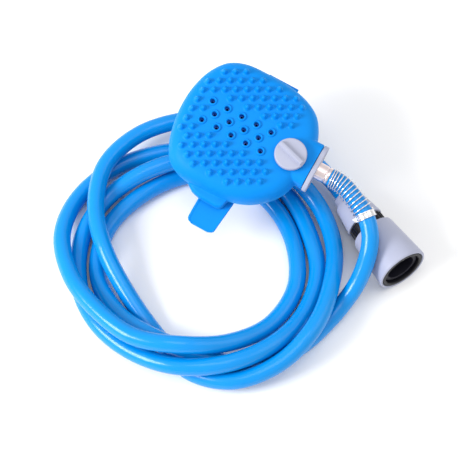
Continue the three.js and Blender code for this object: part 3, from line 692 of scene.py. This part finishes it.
def nozzle_ring(x, y):
    """A raised ring round a spray hole, with a rounded lip."""
    top = face_height(x, y) + RING_HEIGHT
    inner = NOZZLE_SEEN
    profile = [
        (top - 2.2, inner), (top - 2.2, NOZZLE_RING + 0.3), (top - 1.2, NOZZLE_RING + 0.1),
        (top - 0.5, NOZZLE_RING - 0.25), (top, NOZZLE_RING - 0.8), (top, inner + 0.5), (top - 0.6, inner),
    ]
    return moved(stood(turned(profile, ease=0.35, sides=32)), x, y, 0)


def nozzle_hole(x, y):
    """A cutter that goes right through the cover at a spray hole."""
    top = FACE + 4
    profile = [(HOLE_FLOOR, 0), (HOLE_FLOOR, NOZZLE_SEEN), (top, NOZZLE_SEEN), (top, 0)]
    return moved(stood(turned(profile, ease=0, sides=28)), x, y, 0)


def silicone_cover():
    """The cover is one blended skin with the inside and the holes cut out; crisp rings stand on it."""
    neck = moved(slab(33, NECK_END, NECK_AXIS + 0.7, NECK_HALF_WIDTH, NECK_HALF_HEIGHT, 6), 0, NECK_SIDE, 0)
    tongue_line = eased([(-30, -36), (-25, -44), (-17, -50.3), (-10.6, -51.8), (2.4, -52.2), (6, -51),
                         (7.2, -45), (12.5, -38.5)], 2)
    tongue = lofted([
        [Vector((-8, -40, 2.2))],
        [Vector((x, y, 2.2)) for x, y in tongue_line],
        [Vector((x, y, 7)) for x, y in tongue_line],
        [Vector((x * 0.97, y + 1.2, 8.6)) for x, y in tongue_line],
        [Vector((-8, -38, 10.5))],
    ])
    lug = moved(stood(turned([(3, 0), (3, 3), (8, 3), (8, 0)], ease=1, sides=32)), -28, 43.4, 0)
    nubs = [nub(x, y) for x, y in nub_places()]
    shape = together(pad_body(COVER_OUTER, 6), neck, tongue, lug, *nubs)
    piece = raw("silicone_cover_fine", shape, HEAD)
    blend = piece.modifiers.new("blend", "REMESH")
    blend.mode = "VOXEL"
    blend.voxel_size = 0.5 * MM
    smooth = piece.modifiers.new("smooth", "SMOOTH")
    smooth.factor = 0.5
    smooth.iterations = 2
    settle(piece)
    top = FACE + 8
    stem = stood(turned([(HOLE_FLOOR, 0), (HOLE_FLOOR, STEM_HOLE), (top, STEM_HOLE), (top, 0)], ease=0))
    tools = [
        pad_body(COVER_INNER, 3),
        moved(slab(33, NECK_END + 1, NECK_AXIS, 13.9, 6.6, 3), 0, NECK_SIDE, 0),
        moved(stem, KNOB_AT, 0, 0),
        together(*[nozzle_hole(x, y) for x, y in nozzle_places()]),
    ]
    carved(piece, tools, HEAD)
    shaded(piece, 50)
    owned(piece, "handset", "silicone", ["silicone_cover"])
    rings = together(*[nozzle_ring(x, y) for x, y in nozzle_places()])
    make("nozzle_rings", rings, HEAD, "handset", "silicone", sharp=60, nodes=["silicone_cover"])


silicone_cover()


def strap_line():
    """The strap's middle line: from the pull tab, under the palm face in an arch, to the far end."""
    middle = STRAP_TOP - STRAP_THICKNESS / 2
    corners = [
        (STRAP_TAB_END, middle - 1), (-52, middle), (-45, middle), (-37.7, middle), (-33.2, -5),
        (-25, -12), (-13, -18.4), (0, -21.3), (13, -18.4), (25, -12),
        (33.2, -5), (37.7, middle), (45, middle), (50, middle),
    ]
    return spaced(centripetal([Vector((0, y, z)) for y, z in corners]), 110)


def hand_strap():
    """A band with raised edges at the pull tab, whose corners are round."""
    line = strap_line()
    half = STRAP_WIDTH / 2
    rings = []
    for i, point in enumerate(line):
        along = (line[min(i + 1, len(line) - 1)] - line[max(i - 1, 0)]).normalized()
        up = Vector((1, 0, 0)).cross(along)
        from_end = max(point.y - STRAP_TAB_END, 0)
        pull = 0
        if from_end < STRAP_CORNER:
            pull = STRAP_CORNER - math.sqrt(STRAP_CORNER ** 2 - (STRAP_CORNER - from_end) ** 2)
        wide = half - pull
        thick = STRAP_THICKNESS / 2
        floor = thick - (STRAP_LIP if point.y < STRAP_TAB_ROOT else 0)
        right = wide - STRAP_NARROWING * min(max((STRAP_TAB_ROOT - point.y) / 20, 0), 1)
        section = eased([
            (-wide, -thick), (right, -thick), (right, thick), (right - 1.4, thick), (right - 1.8, floor),
            (1.8 - wide, floor), (1.4 - wide, thick), (-wide, thick),
        ], 0.5, steps=3)
        rings.append([point + Vector((s.x, 0, 0)) + up * s.y for s in section])
    piece = raw("hand_strap_fine", capped(rings), HEAD)
    shaded(piece, 45)
    owned(piece, "handset", "silicone", ["hand_strap"])


hand_strap()

SCREW_PLACES = [(-33, 26), (-33, -26), (14, 32), (14, -32)]
PEG_PLACES = [(-6, 40.4), (6, 40.4), (-6, -40.4), (6, -40.4)]
PEG_HEAD = 2.5
PEG_STEM = 1.6


def cross_cut(depth_from, depth_to, reach):
    """A screwdriver cross on the Z axis."""
    middle, half = (depth_from + depth_to) / 2, abs(depth_to - depth_from) / 2
    bar = slab(-reach, reach, middle, 0.35, half, 0.1, steps=2)
    return [bar, spun(bar, math.pi / 2, "Z")]


def head_fasteners():
    """The shell screws and the pegs that hold the strap's ends."""
    for i, (x, y) in enumerate(SCREW_PLACES):
        profile = [(0.1, 0), (0.1, 2.7), (1.2, 2.7), (1.2, 1.3), (12.5, 1.3), (12.5, 0)]
        place = HEAD @ Matrix.Translation((x, y, 0))
        screw = stood(turned(profile, ease=0.2, sides=32))
        make(f"shell_screw_{i + 1}_fine", screw, place, "handset", "steel", tools=cross_cut(-0.5, 0.75, 1.5))
    under = STRAP_TOP - STRAP_THICKNESS - GAP
    for i, (x, y) in enumerate(PEG_PLACES):
        top = NOTCH_TOP + 1.1
        profile = [(under - 1, 0), (under - 1, 2), (under - 0.3, PEG_HEAD), (under, PEG_HEAD),
                   (under, PEG_STEM), (top, PEG_STEM), (top, 0)]
        place = HEAD @ Matrix.Translation((x, y, 0))
        peg = stood(turned(profile, ease=0.3, sides=40))
        make(f"strap_peg_{i + 1}_fine", peg, place, "handset", "shell_plastic")


head_fasteners()


# ------------------------------------------------------------------ knob and inlet

def valve_knob():
    """The knob's disc with a square socket under it, and the rib on top."""
    low = FACE + 0.4
    side = [(low, KNOB_RADIUS - 0.6), (low + 0.6, KNOB_RADIUS), (low + 3, KNOB_RADIUS),
            (low + 3.6, KNOB_RADIUS - 0.6)]
    disc = stood(turned([(low, 0), *side, (low + 3.6, 0)], ease=0.5, sides=128))
    reach = KNOB_RADIUS - 0.75
    base, top = low + 3, low + 6.4
    def rib_ring(height, half_width, end):
        corners = [(-end, -half_width), (end, -half_width), (end, half_width), (-end, half_width)]
        outline = eased(corners, 0.8)
        return [Vector((x, y, height)) for x, y in outline]
    rib = capped([rib_ring(base, 2.1, reach), rib_ring(top - 0.5, 1.55, reach - 0.1),
                  rib_ring(top - 0.15, 1.4, reach - 0.25), rib_ring(top, 1.05, reach - 0.6)])
    socket_hole = slab(-3.1, 3.1, 17, 3.1, low + 2.6 - 17, 0.3)
    make("valve_knob_fine", disc, KNOB, "knob", "grey_plastic", tools=[socket_hole])
    make("valve_knob_rib", rib, KNOB, "knob", "grey_plastic", nodes=["valve_knob"])


valve_knob()


def end_plate():
    """The end plate and its two screws."""
    start = NECK_END + GAP
    end = start + PLATE_THICKNESS
    plate = slab(start, end, 0, NECK_HALF_WIDTH + 1, 9.4, 9.2, ease=0.6, steps=20)
    bore = SPIGOT_RADIUS + 0.3
    tools = [
        turned([(start - 1, 0), (start - 1, bore), (end + 1, bore), (end + 1, 0)], ease=0),
        turned([(start - 1, 0), (start - 1, 8.1), (start + 1.2, 8.1), (start + 1.2, 0)], ease=0),
    ]
    for side in (-1, 1):
        hole = turned([(start - 1, 0), (start - 1, 1.5), (end - 1.6, 1.5), (end - 1.6, 2.6), (end + 1, 2.6),
                       (end + 1, 0)], ease=0, sides=40)
        tools.append(moved(hole, 0, side * PLATE_SCREW, 0))
    make("end_plate_fine", plate, NECK, "handset", "grey_plastic", tools=tools)
    for i, side in enumerate((-1, 1)):
        profile = [(40.6, 0), (40.6, 1.1), (end - 1.3, 1.1), (end - 1.3, 2.2), (end - 0.1, 2.2),
                   (end - 0.1, 0)]
        screw = turned(profile, ease=0.2, sides=32)
        cross = [moved(spun(tool, math.pi / 2, "Y"), end - 0.8, 0, 0) for tool in cross_cut(0, 1.2, 1.3)]
        place = NECK @ Matrix.Translation((0, side * PLATE_SCREW, 0))
        make(f"plate_screw_{i + 1}_fine", screw, place, "handset", "steel", tools=cross)


end_plate()


def inlet_spigot():
    """The tube that the hose is clamped on, with a flange behind the end plate."""
    flange = NECK_END + GAP
    profile = [
        (NECK_END - 1.2, WATER_RADIUS), (NECK_END - 1.2, 5.5), (flange - 0.2, 5.5), (flange - 0.2, 7.7),
        (flange + 0.9, 7.7), (flange + 0.9, SPIGOT_RADIUS), (SPIGOT_END - 3.2, SPIGOT_RADIUS),
        (SPIGOT_END - 2.8, SPIGOT_RADIUS - 0.4), (SPIGOT_END - 2.2, SPIGOT_RADIUS - 0.4),
        (SPIGOT_END - 1.8, SPIGOT_RADIUS), (SPIGOT_END, SPIGOT_RADIUS), (SPIGOT_END, WATER_RADIUS),
    ]
    make("inlet_spigot_fine", turned(profile, ease=0.25), NECK, "handset", "plated_metal")


inlet_spigot()


# ------------------------------------------------------------------ connector

def sleeve_radius(along):
    """The radius of the sleeve's outside, which widens towards the front."""
    share = (along - SLEEVE_START) / (CONNECTOR_LENGTH - SLEEVE_START)
    return SLEEVE_REAR + (SLEEVE_FRONT - SLEEVE_REAR) * share


def connector_nut():
    profile = [
        (0, 6.6), (0, 8.2), (0.6, 8.6), (5, 8.6), (6.2, 10.9), (25, 13.7), (25.6, 13.2), (25.6, 9.4),
        (5.4, 9.4), (5.4, 6.6),
    ]
    make("connector_nut_fine", turned(profile, ease=0.6), CONNECTOR, "handset", "grey_plastic")


def grip_ring():
    profile = [(26.2, 11.3), (26.2, 12.3), (33.7, 12.3), (33.7, 11.3)]
    ring = turned(profile, ease=0.3, sides=192, ribs=24, rib_height=0.65)
    make("grip_ring_fine", ring, CONNECTOR, "handset", "black_plastic")


def connector_body():
    """The inner body with its four claw windows, and the pointed guide tooth in its mouth."""
    profile = [
        (14.4, 4), (14.4, 9), (26, 9), (26, 11), (34, 11), (34, BODY_FLANGE), (35.2, BODY_FLANGE),
        (35.2, 11), (53.6, 11), (53.6, 12), (61, 12), (61, BODY_FLANGE), (BODY_FRONT, BODY_FLANGE),
        (BODY_FRONT, MOUTH_RADIUS), (52.5, MOUTH_RADIUS), (52, BORE_RADIUS), (47, BORE_RADIUS), (47, 9.4),
        (45, 9.4), (45, BORE_RADIUS), (39, BORE_RADIUS), (39, 4),
    ]
    window = slab(54.6, 60.4, 10, 2.5, 4, 0.3, steps=3)
    make("connector_body_fine", turned(profile, ease=0.3), CONNECTOR, "handset", "charcoal_plastic",
         tools=[spun(window, turn) for turn in CLAW_TURNS])
    root, point = MOUTH_RADIUS + 0.4, MOUTH_RADIUS - 3
    outline = eased([(-2.4, root), (2.4, root), (0, point)], 0.4)
    tooth = capped([[Vector((along, y, z)) for y, z in outline] for along in (64, BODY_FRONT - 0.1)])
    make("connector_guide_tooth", spun(tooth, GUIDE_TURN - math.pi / 2), CONNECTOR, "handset",
         "charcoal_plastic", nodes=["connector_body"])


def connector_sleeve():
    """The sleeve widens towards its lip outside, and inside it has the cone that lets the claws out."""
    front, rear = CONNECTOR_LENGTH, SLEEVE_START
    profile = [
        (rear, 13.6), (rear, SLEEVE_REAR - 0.8), (rear + 0.8, sleeve_radius(rear + 0.8)),
        (front - 1, sleeve_radius(front - 1)), (front, SLEEVE_FRONT - 0.8), (front, 16.4), (66, 16.4),
        (66, 12.85 + CLAW_RATIO * 11), (53, 12.85 - CLAW_RATIO * 2), (53, 11.4), (50.6, 11.4), (50.6, 13.6),
    ]
    make("connector_sleeve_fine", turned(profile, ease=0.5), CONNECTOR, "sleeve", "grey_plastic")


def lip_ring():
    profile = [(66.3, 13.4), (66.3, 16.1), (69.6, 16.1), (69.9, 15.8), (69.9, 14), (69.3, 13.4)]
    make("lip_ring_fine", turned(profile, ease=0.3), CONNECTOR, "sleeve", "black_plastic")


def locking_claws():
    """Four claws, each with a back that slopes as the sleeve's cone does."""
    back, front = 12.5, 12.5 + CLAW_RATIO * 5
    outline = eased([(55, 9), (57.5, 7.2), (60, 9), (60, front), (55, back)], 0.3)
    sides = [[Vector((along, y, radius)) for along, radius in outline] for y in (-2.1, 2.1)]
    for i, turn in enumerate(CLAW_TURNS):
        make(f"locking_claw_{i + 1}_fine", spun(capped(sides), turn), CONNECTOR, f"claw_{i + 1}",
             "charcoal_plastic")


connector_nut()
grip_ring()
connector_body()
connector_sleeve()
lip_ring()
locking_claws()


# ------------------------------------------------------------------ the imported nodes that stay


def finish_nodes():
    """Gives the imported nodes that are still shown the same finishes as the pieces."""
    slots = {part["node"]: part["material_slot"] for part in frame["record"]["subparts"]}
    for name, node in frame["nodes"].items():
        for holder in node.material_slots:
            holder.link = "OBJECT"
            holder.material = FINISHES[slots[name]]


finish_nodes()


# ------------------------------------------------------------------ floor and light

def plain(name, colour, roughness):
    """A finish without texture, for the floor only."""
    material = bpy.data.materials.new(name)
    material.use_nodes = True
    shader = material.node_tree.nodes["Principled BSDF"]
    shader.inputs["Base Color"].default_value = (*colour, 1)
    shader.inputs["Roughness"].default_value = roughness
    return material


def add_floor():
    """A plain pale floor just under the lowest strand."""
    mesh = bpy.data.meshes.new("floor")
    reach = 3.0
    height = -(PALM_HEIGHT + 0.05) * MM
    plan = [(-reach, -reach), (reach, -reach), (reach, reach), (-reach, reach)]
    corners = [(x, y, height) for x, y in plan]
    mesh.from_pydata(corners, [], [(0, 1, 2, 3)])
    floor = bpy.data.objects.new("floor", mesh)
    mesh.materials.append(plain("floor", (0.95, 0.95, 0.95), 0.9))
    bpy.context.scene.collection.objects.link(floor)


def add_light(name, azimuth, elevation, distance, size, power):
    """A square soft light aimed at the object; azimuth 0 stands at -Y and 90 at +X."""
    data = bpy.data.lights.new(name, "AREA")
    data.size = size
    data.energy = power
    light = bpy.data.objects.new(name, data)
    a, e = math.radians(azimuth), math.radians(elevation)
    away = Vector((math.sin(a) * math.cos(e), -math.cos(a) * math.cos(e), math.sin(e)))
    light.location = AIM + away * distance
    light.rotation_euler = (-away).to_track_quat("-Z", "Y").to_euler()
    bpy.context.scene.collection.objects.link(light)


add_floor()
add_light("key", -42, 36, 1.1, 0.45, 11)
add_light("fill", 120, 50, 1.3, 0.8, 2)
add_light("top", 20, 85, 1.4, 0.7, 3)
world = bpy.data.worlds.new("studio")
world.use_nodes = True
world.node_tree.nodes["Background"].inputs["Color"].default_value = (1, 1, 1, 1)
world.node_tree.nodes["Background"].inputs["Strength"].default_value = 0.78
bpy.context.scene.world = world
bpy.context.scene.view_settings.view_transform = "Standard"
